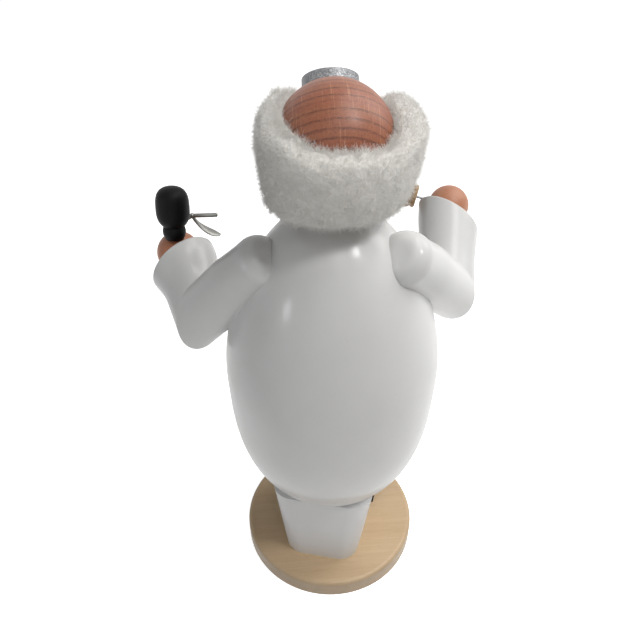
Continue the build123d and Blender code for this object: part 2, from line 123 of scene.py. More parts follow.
def ramp(tree, value, stops):
    node = put(tree, "ShaderNodeValToRGB", Fac=value)
    elements = node.color_ramp.elements
    while len(elements) < len(stops):
        elements.new(0.5)
    for element, (place, colour) in zip(elements, stops):
        element.position = place
        element.color = colour if isinstance(colour, tuple) else (colour, colour, colour, 1.0)
    return node.outputs["Color"]


def blendColours(tree, share, low, high, mode="MIX"):
    node = put(tree, "ShaderNodeMix", {"data_type": "RGBA", "blend_type": mode})
    for number, value in ((0, share), (6, low), (7, high)):     # its colour sockets are 6 and 7
        feed(tree, node.inputs[number], value)
    return node.outputs[2]


# Camera, lamps, floor and background
viewSettings = {
    "lens": 36.0,
    "sensor": 36.0,
    "near": 0.01,
    "far": 20.0,
    "place": (0.016636, 0.176155, 0.25516),
    "lookAt": (0.004290, -0.000300, 0.11715),
}

lampSettings = {
    # name: direction to the lamp, its width, watts, colour
    "keyLamp": ((-0.48, 0.32, 0.82), 0.17, 3.2, (1.0, 0.99, 0.98)),
    "topLamp": ((-0.34, 0.0, 0.94), 0.36, 2.0, (1.0, 0.995, 0.985)),
    "frontLamp": ((-0.45, -0.40, 0.80), 0.40, 1.5, (1.0, 0.985, 0.965)),
    "lowRightLamp": ((-0.70, -0.30, 0.50), 0.45, 2.1, (1.0, 0.99, 0.975)),
    "backLamp": ((-0.1, 0.5, 0.85), 0.40, 0.9, (1.0, 0.995, 0.985)),
    "cameraLamp": ((0.10, 0.75, 0.60), 0.80, 0.75, (1.0, 1.0, 1.0)),
    "leftLamp": ((0.86, 0.46, 0.22), 0.16, 0.95, (0.97, 0.985, 1.0)),
}
lampAim = (0.0, 0.0, 0.1)
lampDistance = 1.0

stageSettings = {
    "white": (1.0, 1.0, 1.0, 1.0),
    "worldLevel": 0.01,
    "floorSize": 3.0,
    "floorGap": 0.00005,     # below the base, so that the two faces don't flicker
    "floorColour": (0.86, 0.86, 0.86, 1.0),
    "floorLift": 0.90,       # pale share that only the camera and reflections see
}


def pointAt(thing, place, target):
    thing.location = place
    way = Vector(target) - Vector(place)
    thing.rotation_mode = "QUATERNION"
    thing.rotation_quaternion = way.to_track_quat("-Z", "Y")


def makeCamera():
    want = viewSettings
    lens = bpy.data.cameras.new("photoCamera")
    lens.sensor_width = want["sensor"]
    lens.lens = want["lens"]
    lens.clip_start = want["near"]
    lens.clip_end = want["far"]
    camera = bpy.data.objects.new("photoCamera", lens)
    scene.collection.objects.link(camera)
    pointAt(camera, want["place"], want["lookAt"])
    scene.camera = camera
    print("camera placed")


def makeLamps():
    aim = Vector(lampAim)
    for name, (way, width, watts, colour) in lampSettings.items():
        light = bpy.data.lights.new(name, "AREA")
        light.shape = "DISK"
        light.size = width
        light.energy = watts
        light.color = colour
        lamp = bpy.data.objects.new(name, light)
        scene.collection.objects.link(lamp)
        pointAt(lamp, aim + Vector(way).normalized() * lampDistance, aim)
    print("lamps placed,", len(lampSettings))


def seenDirectly(tree):
    # Share of rays that show the background: camera, glossy and transmission ones
    path = tree.nodes.new("ShaderNodeLightPath").outputs
    bounced = mathStep(tree, "MAXIMUM", path["Is Glossy Ray"], path["Is Transmission Ray"])
    return mathStep(tree, "MAXIMUM", path["Is Camera Ray"], bounced)


def makeBackground():
    world = bpy.data.worlds.new("paleStudio")
    scene.world = world
    world.use_nodes = True
    tree = world.node_tree
    tree.nodes.clear()
    white = stageSettings["white"]
    soft = put(tree, "ShaderNodeBackground",
               {"Color": white, "Strength": stageSettings["worldLevel"]})
    pale = put(tree, "ShaderNodeBackground", {"Color": white, "Strength": 1.0})
    mix = put(tree, "ShaderNodeMixShader", Fac=seenDirectly(tree),
              at1=soft.outputs[0], at2=pale.outputs[0])
    put(tree, "ShaderNodeOutputWorld", Surface=mix.outputs[0])


def makeFloor():
    want = stageSettings
    half = want["floorSize"] / 2
    low = cadBox[0].z - want["floorGap"]
    mesh = bpy.data.meshes.new("paleFloor")
    corners = [(-half, -half, low), (half, -half, low), (half, half, low), (-half, half, low)]
    mesh.from_pydata(corners, [], [(0, 1, 2, 3)])
    floor = bpy.data.objects.new("paleFloor", mesh)
    scene.collection.objects.link(floor)
    paint = bpy.data.materials.new("paleFloor")
    paint.use_nodes = True
    tree = paint.node_tree
    tree.nodes.clear()
    matt = put(tree, "ShaderNodeBsdfDiffuse", {"Color": want["floorColour"]})
    level = mathStep(tree, "MULTIPLY", seenDirectly(tree), want["floorLift"])
    lift = put(tree, "ShaderNodeEmission", {"Color": want["white"]}, Strength=level)
    both = put(tree, "ShaderNodeAddShader", at0=matt.outputs[0], at1=lift.outputs[0])
    put(tree, "ShaderNodeOutputMaterial", Surface=both.outputs[0])
    mesh.materials.append(paint)
    print("background and floor made")


# Finishes. Every pattern reads Object coordinates in millimetres, so its scales are per mm
def newFinish(name, shine):
    # A material with its shader, and coordinates in millimetres
    finish = bpy.data.materials.new(name)
    finish.use_nodes = True
    tree = finish.node_tree
    shader = tree.nodes["Principled BSDF"]
    for key, value in shine.items():
        shader.inputs[key].default_value = value
    place = put(tree, "ShaderNodeTexCoord")
    return finish, tree, shader, stretched(tree, place.outputs["Object"], (1 / mm,) * 3)


def layOver(tree, body, share, colour):
    # Lays a colour over the body, as much as the share says
    return blendColours(tree, share, body, tone(*colour))


def mottle(tree, share, want):
    # From the finish's pale colour to its dull or deep one
    darker = want["dull"] if "dull" in want else want["deep"]
    return blendColours(tree, share, tone(*want["pale"]), tone(*darker))


def setSurface(tree, shader, colour, gloss, rough):
    tree.links.new(colour, shader.inputs["Base Color"])
    tree.links.new(spread(tree, gloss, *rough), shader.inputs["Roughness"])


def relief(tree, shader, height, depth, under=None):
    # Bump of a depth in mm, over an earlier one if there is one
    node = put(tree, "ShaderNodeBump", {"Strength": 1.0, "Distance": depth * mm}, Height=height)
    feed(tree, node.inputs["Normal"], under)
    tree.links.new(node.outputs["Normal"], shader.inputs["Normal"])
    return node.outputs["Normal"]


lacquerSettings = {
    "whiteLacquer": {"pale": (224, 224, 224), "dull": (218, 218, 216), "rough": (0.38, 0.48),
                     "shine": 0.3, "coat": 0.35, "ripple": 0.010, "grain": 0.006},
    # the trousers take the coat's white paint, set lighter: painted light on the legs
    "trouserLacquerPaintedLight": {"pale": (235, 235, 235), "dull": (228, 228, 227), "rough": (0.30, 0.42),
                       "shine": 0.25, "coat": 0.1, "ripple": 0.012, "grain": 0.008},
    "blackLacquer": {"pale": (13, 13, 14), "dull": (7, 7, 8), "rough": (0.40, 0.55),
                     "shine": 0.10, "coat": 0.0, "ripple": 0.02, "grain": 0.03},
}

lacquerPattern = {
    "cloud": 0.08,           # slow change of tone
    "peel": 1.1,             # orange peel of the sprayed paint
    "lathe": (0.05, 0.05, 3.0),      # turning lines under it
    "specks": 0.9,
    "speckTones": [(0.0, 0.93), (0.24, 0.985), (0.3, 1.0)],
    "coatRough": 0.18,
}


def lacquerFinish(name):
    # Sprayed paint on turned wood: faint orange peel, turning lines and a few dark specks
    want, pattern = lacquerSettings[name], lacquerPattern
    finish, tree, shader, point = newFinish(name, {
        "IOR": 1.5, "Specular IOR Level": want["shine"],
        "Coat Weight": want["coat"], "Coat Roughness": pattern["coatRough"]})
    cloud = speckle(tree, point, pattern["cloud"], detail=3.0)
    peel = speckle(tree, point, pattern["peel"])
    lines = speckle(tree, stretched(tree, point, pattern["lathe"]), 1.0, detail=3.0)
    specks = speckle(tree, point, pattern["specks"], detail=1.0)
    colour = blendColours(tree, 1.0, mottle(tree, cloud, want),
                          ramp(tree, specks, pattern["speckTones"]), "MULTIPLY")
    setSurface(tree, shader, colour, cloud, want["rough"])
    first = relief(tree, shader, peel, want["ripple"])
    relief(tree, shader, lines, want["grain"], first)
    return finish


woodSettings = {
    # along stretches the grain, ringGap is in mm
    "baseWood": {"pale": (223, 198, 164), "deep": (196, 167, 130), "pore": (156, 124, 90),
                 "along": (0.035, 1.0, 1.0), "ringGap": 2.6, "rough": (0.36, 0.5), "relief": 0.03,
                 "wallShade": 0.72},       # painted shade on its turned wall, where end grain also takes the stain darker
    "dowelWood": {"pale": (224, 198, 160), "deep": (200, 170, 130), "pore": (165, 130, 92),
                  "along": (1.0, 1.0, 0.06), "ringGap": 1.6, "rough": (0.5, 0.65), "relief": 0.03},
    "bareWood": {"pale": (222, 196, 158), "deep": (198, 168, 128), "pore": (160, 126, 88),
                 "along": (1.0, 1.0, 0.06), "ringGap": 1.8, "rough": (0.55, 0.7), "relief": 0.03},
    "tubeWood": {"pale": (188, 152, 108), "deep": (150, 112, 72), "pore": (110, 78, 48),
                 "along": (1.0, 1.0, 0.05), "ringGap": 1.5, "rough": (0.6, 0.75), "relief": 0.04},
    "hornWood": {"pale": (184, 152, 110), "deep": (154, 120, 82), "pore": (112, 80, 50),
                 "along": (0.08, 1.0, 1.0), "ringGap": 1.0, "rough": (0.38, 0.5), "relief": 0.03},
}

woodPattern = {
    "sway": 0.12,            # slow change from the pale to the deep tone
    "ringScale": 0.31,       # of a wave whose rings are 1 mm apart
    "ringShape": {"wave_type": "RINGS", "rings_direction": "SPHERICAL", "wave_profile": "SAW",
                  "Distortion": 2.2, "Detail": 2.0, "Detail Scale": 0.5},
    "ringShare": 0.28,
    "fibres": 2.4,
    "fibreStops": [(0.42, 0.0), (0.7, 0.55)],
    "pores": 6.5,
    "poreStops": [(0.6, 0.0), (0.72, 0.5)],
    "wallShadeFrom": 0.1,         # how far a face looks up before the wall's painted shade starts to go
    "wallShadeTo": 0.9,           # and where it has gone
}


def woodFinish(name):
    # Plain light wood with straight grain, short pores and faint growth rings
    want, pattern = woodSettings[name], woodPattern
    finish, tree, shader, point = newFinish(name, {"IOR": 1.48, "Specular IOR Level": 0.45})
    run = stretched(tree, point, want["along"])
    rings = put(tree, "ShaderNodeTexWave", pattern["ringShape"], Vector=run)
    rings.inputs["Scale"].default_value = pattern["ringScale"] / want["ringGap"]
    ringShare = spread(tree, rings.outputs["Fac"], 0.0, pattern["ringShare"])
    fibres = speckle(tree, run, pattern["fibres"], detail=4.0, rough=0.6)
    fibreShare = ramp(tree, fibres, pattern["fibreStops"])
    pores = speckle(tree, run, pattern["pores"], rough=0.6)
    poreShare = ramp(tree, pores, pattern["poreStops"])
    body = mottle(tree, speckle(tree, run, pattern["sway"]), want)
    body = layOver(tree, body, ringShare, want["deep"])
    body = layOver(tree, body, fibreShare, want["deep"])
    body = layOver(tree, body, poreShare, want["pore"])
    if "wallShade" in want:
        # painted shade: faces that look less far up are darkened, the turned wall most
        normal = tree.nodes.new("ShaderNodeNewGeometry").outputs["Normal"]
        upward = put(tree, "ShaderNodeSeparateXYZ", Vector=normal).outputs["Z"]
        wallShade = ramp(tree, upward, [(pattern["wallShadeFrom"], want["wallShade"]), (pattern["wallShadeTo"], 1.0)])
        body = blendColours(tree, 1.0, body, wallShade, "MULTIPLY")
    setSurface(tree, shader, body, fibres, want["rough"])
    first = relief(tree, shader, fibres, want["relief"])
    relief(tree, shader, mathStep(tree, "SUBTRACT", 1.0, poreShare), want["relief"] / 2, first)
    return finish


skinSettings = {
    # Growth layers cross the ball as nearly flat sheets, square to "across"
    "across": (0.0, -0.814, 0.581),
    "centre": (0.0, 0.0, 182.5),
    "reach": 17.45,          # the ball's radius
    "span": 2.2,             # ball's radii that a ramp of rings covers
    # where the rings lie, in radii from the middle; two groups, as a ramp takes 32 stops
    "backRings": (-0.86, -0.735, -0.613, -0.474, -0.349, -0.212, -0.061, 0.084),
    "frontRings": (0.187, 0.336, 0.451, 0.57, 0.68, 0.80, 0.91),
    "faintRings": (0.084, 0.451, 0.68, 0.91),
    "ringStart": (-0.020, 0.06),     # a ring's place on the ramp and its share of dark
    "ringPeak": (-0.002, 0.75),
    "faintPeak": (-0.002, 0.3),
    "ringEnd": (0.005, 0.02),
    "pale": (182, 118, 84),
    "deep": (140, 80, 54),
    "pink": (164, 96, 70),
    "ring": (76, 36, 25),
    "ray": (204, 144, 110),
    "pore": (86, 44, 31),
    "rough": (0.42, 0.55),
}

skinPattern = {
    "waver": 0.09,           # slow bend of the layers, and how far it goes in mm
    "waverDepth": 0.55,
    "ripple": 1.3,           # and a fine one
    "rippleDepth": 0.35,
    "layer": 0.36,           # layers with a tint of their own, per mm
    "tintStops": [(0.35, 0.0), (0.65, 0.8)],
    "cloud": 0.16,
    "fibreRun": (0.16, 1.0, 1.0),    # fibres and pores run along x
    "fibres": 3.0,
    "fibreStops": [(0.4, 0.0), (0.72, 0.75)],
    "poreRun": (0.5, 1.0, 1.0),
    "pores": 3.6,
    "poreStops": [(0.60, 0.0), (0.70, 0.75)],
    "poresByRing": 0.14,     # more of them beside a ring
    "rayRun": (1.6, 0.05, 0.05),     # rays are short flecks that cross the layers
    "rays": 1.7,
    "rayStops": [(0.62, 0.0), (0.72, 0.55)],
    "gaps": 1.1,             # where a ring's line is weaker
    "gapStops": [(0.34, 0.25), (0.55, 1.0)],
    "fibreRelief": 0.03,
    "poreRelief": 0.02,
}


def layerLines(tree, share, rings):
    # Dark at each late-wood line, fading softly on its lower side
    want = skinSettings
    stops = [(0.0, 0.0)]
    for place in rings:
        peak = want["faintPeak"] if place in want["faintRings"] else want["ringPeak"]
        for step, dark in (want["ringStart"], peak, want["ringEnd"]):
            stops.append((place / want["span"] + 0.5 + step, dark))
    return ramp(tree, share, stops)


def wander(tree, point, scale, depth):
    # A slow sway around nought, of a depth in mm
    offset = mathStep(tree, "SUBTRACT", speckle(tree, point, scale), 0.5)
    return mathStep(tree, "MULTIPLY", offset, depth)


def skinFinish(name):
    # Stained and varnished wood with dark growth rings, pores along them and pale rays
    want, pattern = skinSettings, skinPattern
    finish, tree, shader, point = newFinish(name, {
        "IOR": 1.5, "Specular IOR Level": 0.35, "Coat Weight": 0.4, "Coat Roughness": 0.38})
    centred = vectorStep(tree, "SUBTRACT", point, want["centre"])
    depth = vectorStep(tree, "DOT_PRODUCT", centred, Vector(want["across"]).normalized())
    sway = wander(tree, centred, pattern["waver"], pattern["waverDepth"])
    fine = wander(tree, centred, pattern["ripple"], pattern["rippleDepth"])
    level = mathStep(tree, "ADD", depth, mathStep(tree, "ADD", sway, fine))
    share = mathStep(tree, "DIVIDE", level, want["span"] * want["reach"])
    share = mathStep(tree, "ADD", share, 0.5)
    lines = mathStep(tree, "MAXIMUM", layerLines(tree, share, want["backRings"]),
                     layerLines(tree, share, want["frontRings"]))

    # clouds of stain, and a tint for each layer
    layer = mathStep(tree, "MULTIPLY", level, pattern["layer"])
    tint = put(tree, "ShaderNodeTexNoise",
               {"noise_dimensions": "1D", "Scale": 1.0, "Detail": 0.0}, W=layer)
    body = mottle(tree, speckle(tree, centred, pattern["cloud"], detail=3.0), want)
    body = layOver(tree, body, ramp(tree, tint.outputs["Fac"], pattern["tintStops"]), want["pink"])

    # fibres and short pores, more of them beside a ring
    fibreRun = stretched(tree, centred, pattern["fibreRun"])
    fibres = speckle(tree, fibreRun, pattern["fibres"], detail=4.0, rough=0.65)
    body = layOver(tree, body, ramp(tree, fibres, pattern["fibreStops"]), want["deep"])
    poreRun = stretched(tree, centred, pattern["poreRun"])
    nearRing = mathStep(tree, "MULTIPLY", lines, pattern["poresByRing"])
    pores = mathStep(tree, "ADD", nearRing, speckle(tree, poreRun, pattern["pores"]))
    poreShare = ramp(tree, pores, pattern["poreStops"])
    body = layOver(tree, body, poreShare, want["pore"])

    # pale rays, and the rings over all
    rayRun = stretched(tree, centred, pattern["rayRun"])
    rays = speckle(tree, rayRun, pattern["rays"], detail=1.0)
    body = layOver(tree, body, ramp(tree, rays, pattern["rayStops"]), want["ray"])
    gaps = speckle(tree, poreRun, pattern["gaps"], rough=0.6)
    ringShare = mathStep(tree, "MULTIPLY", lines, ramp(tree, gaps, pattern["gapStops"]))
    body = layOver(tree, body, ringShare, want["ring"])
    setSurface(tree, shader, body, fibres, want["rough"])
    first = relief(tree, shader, fibres, pattern["fibreRelief"])
    relief(tree, shader, mathStep(tree, "SUBTRACT", 1.0, poreShare), pattern["poreRelief"], first)
    return finish


handSettings = {
    # turn is how far the grain is turned about y, in degrees
    "leftHandWood": {"pale": (206, 144, 110), "deep": (178, 108, 78), "pore": (140, 82, 60),
                     "turn": 30.0, "rough": (0.36, 0.5)},
    # the same stain as the left hand, set lighter: painted light on the hand's lit side
    "rightHandWoodPaintedLight": {"pale": (206, 150, 118), "deep": (180, 120, 92), "pore": (142, 90, 68),
                      "turn": -20.0, "rough": (0.36, 0.5)},
}

handPattern = {
    "tip": 0.4,              # radians that the grain tips about z
    "run": (0.18, 1.0, 1.0),
    "cloud": 0.22,
    "fibres": 2.6,
    "fibreStops": [(0.4, 0.0), (0.75, 0.6)],
    "pores": 6.0,
    "poreStops": [(0.6, 0.0), (0.7, 0.5)],
    "relief": 0.02,
}


def handFinish(name):
    # The same stain on small balls: fine straight grain without bold rings
    want, pattern = handSettings[name], handPattern
    finish, tree, shader, point = newFinish(name, {"IOR": 1.5, "Specular IOR Level": 0.45})
    turned = stretched(tree, point, (1.0, 1.0, 1.0),
                       (0.0, math.radians(want["turn"]), pattern["tip"]))
    grain = stretched(tree, turned, pattern["run"])
    fibres = speckle(tree, grain, pattern["fibres"], detail=4.0, rough=0.6)
    pores = speckle(tree, grain, pattern["pores"])
    body = mottle(tree, speckle(tree, point, pattern["cloud"], detail=3.0), want)
    body = layOver(tree, body, ramp(tree, fibres, pattern["fibreStops"]), want["deep"])
    body = layOver(tree, body, ramp(tree, pores, pattern["poreStops"]), want["pore"])
    setSurface(tree, shader, body, fibres, want["rough"])
    relief(tree, shader, fibres, pattern["relief"])
    return finish


metalSettings = {
    # brush stretches the brushed streaks
    "tin": {"pale": (176, 174, 168), "dull": (146, 142, 134), "rough": (0.32, 0.5),
            "brush": (1.0, 1.0, 0.2)},
    "steelWire": {"pale": (168, 170, 172), "dull": (132, 134, 136), "rough": (0.25, 0.4),
                  "brush": (1.0, 1.0, 0.2)},
    "silverMetal": {"pale": (152, 152, 148), "dull": (112, 112, 108), "rough": (0.3, 0.45),
                    "brush": (0.2, 1.0, 1.0)},
}

metalPattern = {"streaks": 7.0, "patches": 0.4, "relief": 0.006}


def metalFinish(name):
    # Thin sheet or wire metal with brushed streaks and dull patches
    want, pattern = metalSettings[name], metalPattern
    finish, tree, shader, point = newFinish(name, {"Metallic": 1.0})
    run = stretched(tree, point, want["brush"])
    streaks = speckle(tree, run, pattern["streaks"], detail=3.0)
    colour = mottle(tree, speckle(tree, point, pattern["patches"], detail=3.0), want)
    setSurface(tree, shader, colour, streaks, want["rough"])
    relief(tree, shader, streaks, pattern["relief"])
    return finish


mirrorSettings = {
    "flakes": 5.0,
    "greys": ((0.0, (92, 94, 97)), (0.45, (140, 142, 145)), (0.85, (178, 180, 182)),
              (1.0, (225, 226, 228))),
    "cloud": 0.7,
    "dull": (112, 115, 119),
    "dullShare": 0.5,
    "rough": (0.32, 0.6),
    "relief": 0.02,
}


def mirrorFinish(name):
    # Silver bronze paint: bright and dark flakes on the turned disc
    want = mirrorSettings
    finish, tree, shader, point = newFinish(name, {"Metallic": 0.4})
    flakes = put(tree, "ShaderNodeTexVoronoi", {"Scale": want["flakes"]}, Vector=point)
    # each flake's random colour gives its grey, its gloss and its height
    own = put(tree, "ShaderNodeSeparateColor", Color=flakes.outputs["Color"]).outputs
    grey = ramp(tree, own["Red"], [(place, tone(*colour)) for place, colour in want["greys"]])
    cloud = speckle(tree, point, want["cloud"], detail=3.0)
    colour = layOver(tree, grey, spread(tree, cloud, 0.0, want["dullShare"]), want["dull"])
    setSurface(tree, shader, colour, own["Green"], want["rough"])
    relief(tree, shader, own["Blue"], want["relief"])
    return finish


furTones = {
    "whiteFur": {"pale": (254, 252, 248), "dull": (244, 241, 234), "root": (226, 221, 211),
                 "relief": 0.18},
    "furStrand": {"pale": (255, 255, 252), "dull": (253, 251, 246), "root": (245, 241, 233),
                  "relief": 0.02},
}

furPattern = {"tufts": 0.35, "fibres": 2.4, "rootStops": [(0.45, 0.0), (0.7, 0.7)]}


def furFinish(name):
    # White plush: each fibre a little lighter or darker, warmer near the root
    want, pattern = furTones[name], furPattern
    finish, tree, shader, point = newFinish(name, {
        "Roughness": 0.7, "Specular IOR Level": 0.3, "Sheen Weight": 0.8, "Sheen Roughness": 0.6})
    fibres = speckle(tree, point, pattern["fibres"])
    colour = mottle(tree, speckle(tree, point, pattern["tufts"]), want)
    colour = layOver(tree, colour, ramp(tree, fibres, pattern["rootStops"]), want["root"])
    tree.links.new(colour, shader.inputs["Base Color"])
    relief(tree, shader, fibres, want["relief"])
    return finish


paintSettings = {
    "eyeWhite": {"pale": (236, 234, 228), "dull": (222, 219, 212), "rough": (0.25, 0.35)},
    "eyeBlack": {"pale": (22, 20, 20), "dull": (12, 11, 11), "rough": (0.2, 0.3)},
    "browGrey": {"pale": (206, 204, 198), "dull": (178, 175, 168), "rough": (0.5, 0.65)},
}

paintPattern = {"streaks": 2.5, "relief": 0.02}


def paintFinish(name):
    # Brushed-on paint: slight streaks in colour and gloss
    want, pattern = paintSettings[name], paintPattern
    finish, tree, shader, point = newFinish(name, {"IOR": 1.5})
    streaks = speckle(tree, point, pattern["streaks"], detail=3.0)
    setSurface(tree, shader, mottle(tree, streaks, want), streaks, want["rough"])
    relief(tree, shader, streaks, pattern["relief"])
    return finish


finishes = {}


def makeFinishes():
    families = ((lacquerFinish, lacquerSettings), (woodFinish, woodSettings),
                (metalFinish, metalSettings), (handFinish, handSettings),
                (skinFinish, ["headWood"]), (mirrorFinish, ["silverPaint"]),
                (furFinish, furTones), (paintFinish, paintSettings))
    for make, names in families:
        for name in names:
            finishes[name] = make(name)
    print("finishes made,", len(finishes))


finishOfNode = {
    "base_disc": "baseWood", "leg_dowels": "dowelWood", "trousers": "trouserLacquerPaintedLight",
    "left_shoe": "blackLacquer", "right_shoe": "blackLacquer", "spigot": "bareWood",
    "cone_dish": "tin", "dish_tack": "steelWire", "coat_body": "whiteLacquer",
    "coat_buttons": "blackLacquer", "neck_tube": "tubeWood", "head": "headWood",
    "nose": "headWood", "head_mirror": "silverPaint", "mirror_pin": "steelWire",
    "hair": "whiteFur", "left_arm_dowel": "dowelWood", "left_upper_arm": "whiteLacquer",
    "left_forearm": "whiteLacquer", "left_hand": "leftHandWood",
    "right_arm_dowel": "dowelWood", "right_upper_arm": "whiteLacquer",
    "right_forearm": "whiteLacquer", "right_hand": "rightHandWoodPaintedLight", "bulb_pin": "steelWire",
    "black_bulb": "blackLacquer", "forceps_shank": "silverMetal",
    "forceps_spoon": "silverMetal", "horn_wire": "steelWire", "listening_horn": "hornWood",
}


def dressNodes():
    for name, finish in finishOfNode.items():
        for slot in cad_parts[name].material_slots:
            slot.material = finishes[finish]
    print("CAD nodes dressed,", len(finishOfNode))


# Fur: a matted body in the hair's place, with short curled strands over it
matSettings = {
    # lengths in mm; a pair says where a share starts and where it is full
    "weld": 0.01,            # points nearer than this are one
    "coarse": 1.1,           # first voxel, which rounds the ridges
    "rounding": 20,
    "voxel": 0.45,
    "smoothing": 4,
    # size, push and seed of each noise that swells it
    "lumps": ((7.0, 0.50, (0.0, 5.0, 3.0)), (2.6, 0.40, (17.0, 5.0, 3.0)),
              (1.0, 0.30, (34.0, 5.0, 3.0))),
    "shrink": 0.6,
    "overlap": 0.5,          # how far the inner side laps the ball
    "innerFacing": (0.1, 0.6),       # how squarely a point faces the ball
    "innerGap": (3.5, 1.5),
    "outerGap": (0.6, 3.0),
    "fray": 0.9,             # how far the rim on the ball wanders
    "fraySize": 1.1,
    "fraySeed": (3.0, 9.0, 1.0),
    "rimDrop": 0.9,
    "rimBelow": (26.0, 20.0),
    "rimGap": (2.5, 0.5),
    "shift": -0.5,           # the whole mat sits off to the figure's right
}

# The mat was glued on by hand, so its lobes differ. Each row is an axis and a push in mm, and
# then where it starts and is full: x, z over the ball's middle, below the mat's top, or gap
# to the ball. The figure's left is at positive x.
lobeMoves = {
    "leftTail": ("x", 6.0, ("below", 27.0, 36.0), ("x", -6.0, 14.0)),
    "leftTuck": ("x", -1.3, ("x", 12.0, 20.0), ("z", -16.5, -6.5)),
    "rightBulge": ("x", -2.0, ("x", -12.0, -20.0), ("z", -2.5, 7.5)),
    "rightDrop": ("z", -1.8, ("x", -4.0, -16.0), ("z", -4.5, 13.5)),
    "leftRise": ("z", 0.4, ("x", 8.0, 15.0), ("z", -4.5, 3.5), ("gap", 9.0, 3.0)),
    "leftHug": ("x", -2.4, ("x", 9.0, 14.0), ("z", -2.5, 2.5), ("gap", 5.0, 2.0)),
    "napeDip": ("z", -1.8, ("x", -5.0, -10.0), ("x", -17.0, -13.5), ("gap", 5.0, 2.0)),
}


def ownCopy(name, newName):
    # A merged copy of a CAD node's mesh
    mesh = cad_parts[name].data.copy()
    mesh.name = newName
    form = bmesh.new()
    form.from_mesh(mesh)
    bmesh.ops.remove_doubles(form, verts=form.verts, dist=matSettings["weld"] * mm)
    form.to_mesh(mesh)
    form.free()
    mesh.materials.clear()
    piece = bpy.data.objects.new(newName, mesh)
    scene.collection.objects.link(piece)
    return piece


def settle(piece):
    # Turns the evaluated piece into a plain mesh and drops its modifiers
    bpy.context.view_layer.update()
    graph = bpy.context.evaluated_depsgraph_get()
    made = bpy.data.meshes.new_from_object(piece.evaluated_get(graph))
    piece.modifiers.clear()
    piece.data = made


def softStep(value, start, full):
    share = min(1.0, max(0.0, (value - start) / (full - start)))
    return share * share * (3.0 - 2.0 * share)


def roundOff(piece, voxel, turns):
    # Remeshes the piece, then smooths its corners
    remesh = piece.modifiers.new("felt", "REMESH")
    remesh.mode = "VOXEL"
    remesh.voxel_size = voxel * mm
    smooth = piece.modifiers.new("round", "SMOOTH")
    smooth.iterations = turns
    settle(piece)


def combed(place, top, gap):
    where = {"x": place.x, "z": place.z - skinSettings["centre"][2], "below": top - place.z,
             "gap": gap}
    place.x += matSettings["shift"]
    for axis, push, *ranges in lobeMoves.values():
        for measure, start, full in ranges:
            push *= softStep(where[measure], start, full)
        place["xyz".index(axis)] += push
    return place


def makeMat():
    want = matSettings
    mat = ownCopy("hair", "hair_mat")
    roundOff(mat, want["coarse"], want["rounding"])
    roundOff(mat, want["voxel"], want["smoothing"])
    middle = Vector(skinSettings["centre"])
    reach = skinSettings["reach"]
    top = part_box("hair")[1][2] / mm
    normals = [Vector(normal.vector) for normal in mat.data.vertex_normals]
    for vertex, normal in zip(mat.data.vertices, normals):
        place = vertex.co / mm
        gap = (place - middle).length - reach
        facing = -normal.dot((place - middle).normalized())
        inner = softStep(facing, *want["innerFacing"]) * softStep(gap, *want["innerGap"])
        outer = softStep(gap, *want["outerGap"]) * (1.0 - inner)
        push = -want["shrink"] * outer
        for size, depth, seed in want["lumps"]:
            push += outer * depth * fieldNoise.noise(place / size + Vector(seed))
        rim = softStep(top - place.z, *want["rimBelow"]) * softStep(gap, *want["rimGap"])
        fray = fieldNoise.noise(place / want["fraySize"] + Vector(want["fraySeed"]))
        place = combed(place + normal * push, top, gap)
        place.z += (want["fray"] * fray - want["rimDrop"]) * rim
        out = place - middle
        place -= out.normalized() * inner * (out.length - reach + want["overlap"])
        vertex.co = place * mm
    mat.data.materials.append(finishes["whiteFur"])
    for face in mat.data.polygons:
        face.use_smooth = True
    print("fur mat made,", len(mat.data.polygons), "faces")
    return mat


strandLayers = {
    # layer: ground, seed, strands, length, thickness, curl, curl size, lean, tuft size (mm)
    "hair_fur_1": ("fur", 11, 10000, 1.2, 0.100, 0.90, 0.70, 1.20, 1.8),
    "hair_fur_2": ("fur", 12, 11000, 1.6, 0.085, 1.20, 0.80, 1.20, 1.4),
    "hair_flyaway": ("fur", 13, 5000, 2.3, 0.080, 1.60, 0.90, 1.00, 2.0),
    # curls along the rim that lie over the bare wood
    "hair_fringe": ("rim", 31, 5000, 2.2, 0.085, 1.50, 0.80, 1.00, 1.2),
}
# how far from the ball the ground of each layer reaches, in mm
strandGrounds = {"fur": (0.3, 100.0), "rim": (-0.2, 2.4)}

strandShape = {
    "points": 3,             # along a strand
    "sides": 3,
    "tuftPull": 3.0,         # how much of the lean a tuft shares
    "strayPull": 0.75,       # and how much is each strand's own
    "sizes": (0.55, 1.2),
    "curlPull": 3.0,
    "curlSpread": 40.0,      # keeps the curls of neighbours apart
    "tip": 0.35,             # width of the tip
    "ownSeed": 5.0,          # added to the layer's for each strand's own number
}


def groundOf(mat, nearest, farthest):
    # The mat's faces whose distance from the ball lies between these, where strands grow
    mesh = mat.data.copy()
    middle = Vector(skinSettings["centre"])
    form = bmesh.new()
    form.from_mesh(mesh)
    other = []
    for face in form.faces:
        gap = (face.calc_center_median() / mm - middle).length - skinSettings["reach"]
        if not nearest < gap < farthest:
            other.append(face)
    bmesh.ops.delete(form, geom=other, context="FACES")
    form.to_mesh(mesh)
    form.free()
    return mesh


